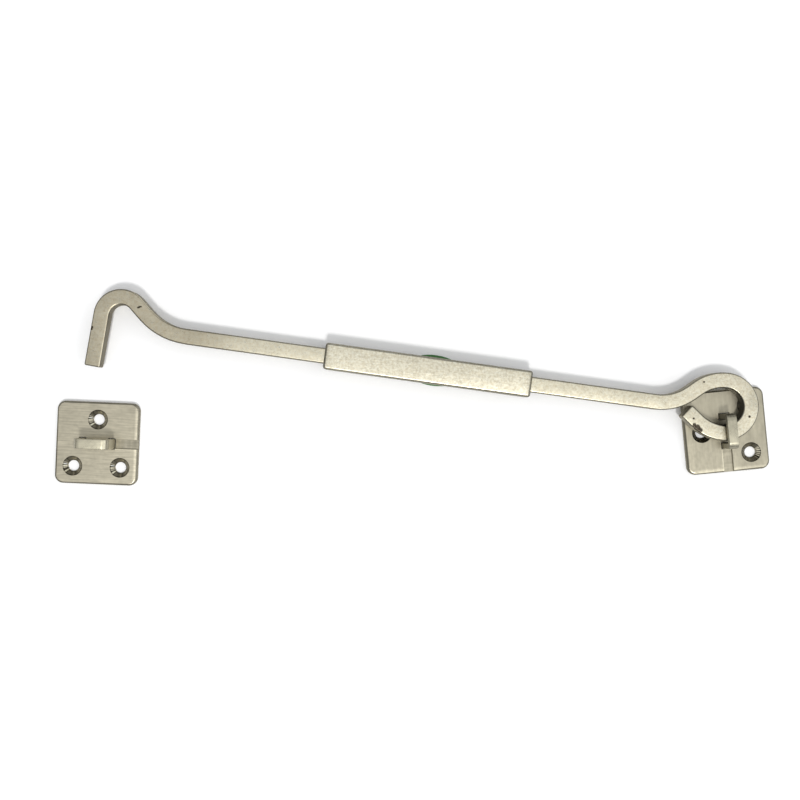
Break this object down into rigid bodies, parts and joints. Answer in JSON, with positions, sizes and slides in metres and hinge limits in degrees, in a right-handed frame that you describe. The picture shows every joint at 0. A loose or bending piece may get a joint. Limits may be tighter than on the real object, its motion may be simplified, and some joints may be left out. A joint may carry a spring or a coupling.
{
  "type": "window stay",
  "caption": "Hooked square bar with a thick grip and an eye linked to a staple on a pivot plate, and a keeper plate whose staple takes the hook to hold a window open.",
  "frame": {"origin": "middle of the pivot plate's back face, which lies flat on the mounting surface", "axes": "+X along the bar from the hook towards the eye, +Y to the side that the hook's bend rises to, +Z away from the mounting surface"},
  "size_m": [0.2598, 0.0728, 0.0116],
  "materials": {
    "plate_steel": "brushed along the staple, warm grey",
    "staple_steel": "satin",
    "bar_steel": "satin with fine grain and small dark chips",
    "sleeve_steel": "satin, paler than the bar",
    "label_green": "plain printed paper label"
  },
  "bodies": {
    "plates": {"pivot_plate": "plate_steel", "pivot_staple": "staple_steel", "keeper_plate": "plate_steel", "keeper_staple": "staple_steel"},
    "stay": {"eye_rod": "bar_steel", "hook_rod": "bar_steel", "grip_sleeve": "sleeve_steel", "oval_label": "label_green"}
  },
  "joints": [
    {"name": "swing", "type": "hinge", "parent": "plates", "child": "stay", "pos_m": [-0.00307, 0.00851, 0.0054], "axis": [0, 0, 1], "range_deg": [-180, 11.7]}
  ]
}
